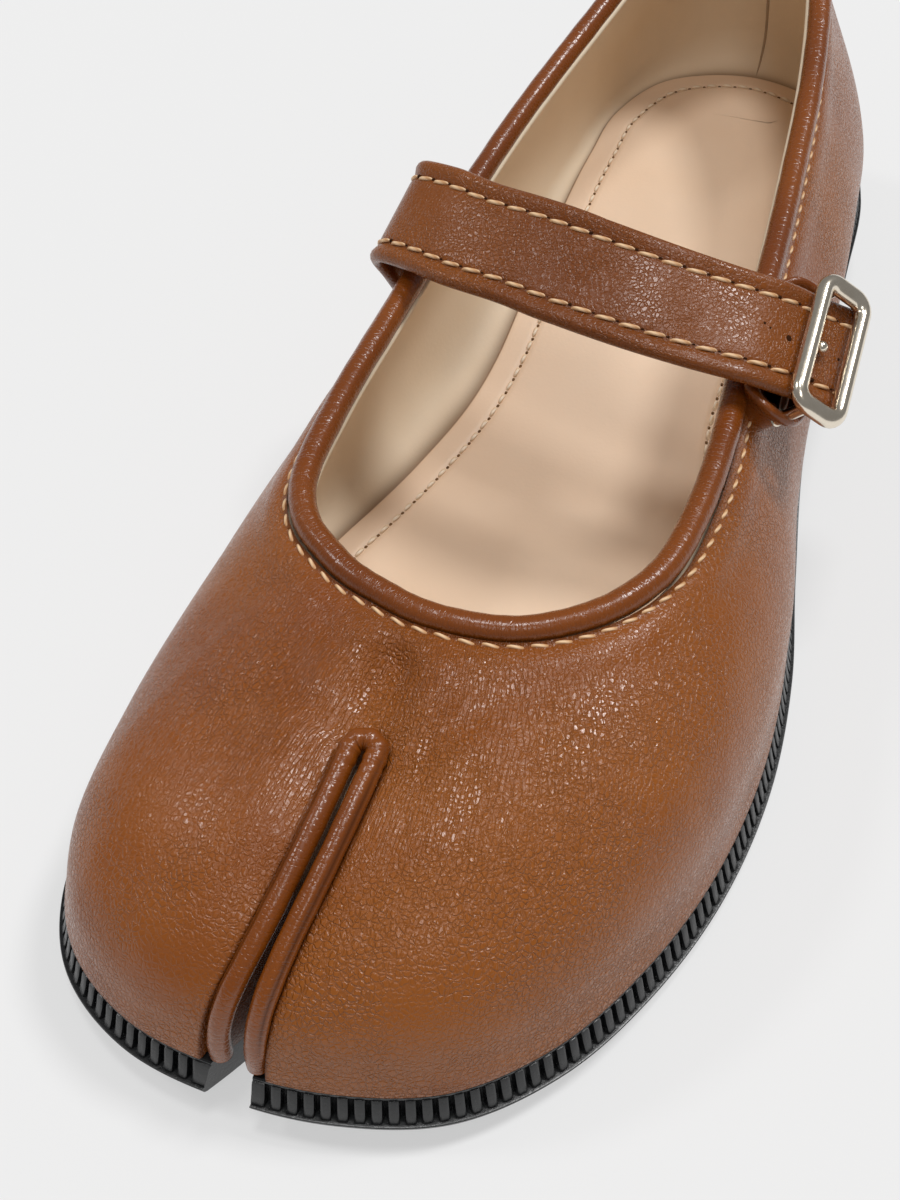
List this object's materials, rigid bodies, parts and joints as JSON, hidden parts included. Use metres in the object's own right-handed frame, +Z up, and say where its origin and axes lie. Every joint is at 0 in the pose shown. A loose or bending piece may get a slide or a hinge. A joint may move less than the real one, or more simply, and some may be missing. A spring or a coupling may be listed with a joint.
{
  "type": "tabi mary jane shoe",
  "caption": "Left tabi mary jane shoe with a split toe, low ribbed rubber sole, open collar and one buckled strap across the instep.",
  "frame": {"origin": "middle of the shoe's bounding box, on the floor under the sole", "axes": "+Z up, toe towards -Y, heel towards +Y, +X the outer (lateral) side"},
  "size_m": [0.0984, 0.2558, 0.074],
  "materials": {
    "leather_brown": "semi-gloss, fine grain",
    "rubber_black": "satin",
    "lining_beige": "matt",
    "nickel": "polished, pale gold tint"
  },
  "bodies": {
    "root": {"outsole": "rubber_black", "insole": "lining_beige", "upper": "leather_brown", "topline_roll": "leather_brown", "slit_roll": "leather_brown", "strap": "leather_brown", "buckle_tab": "leather_brown", "buckle_frame": "nickel", "buckle_stud": "nickel"}
  },
  "joints": []
}
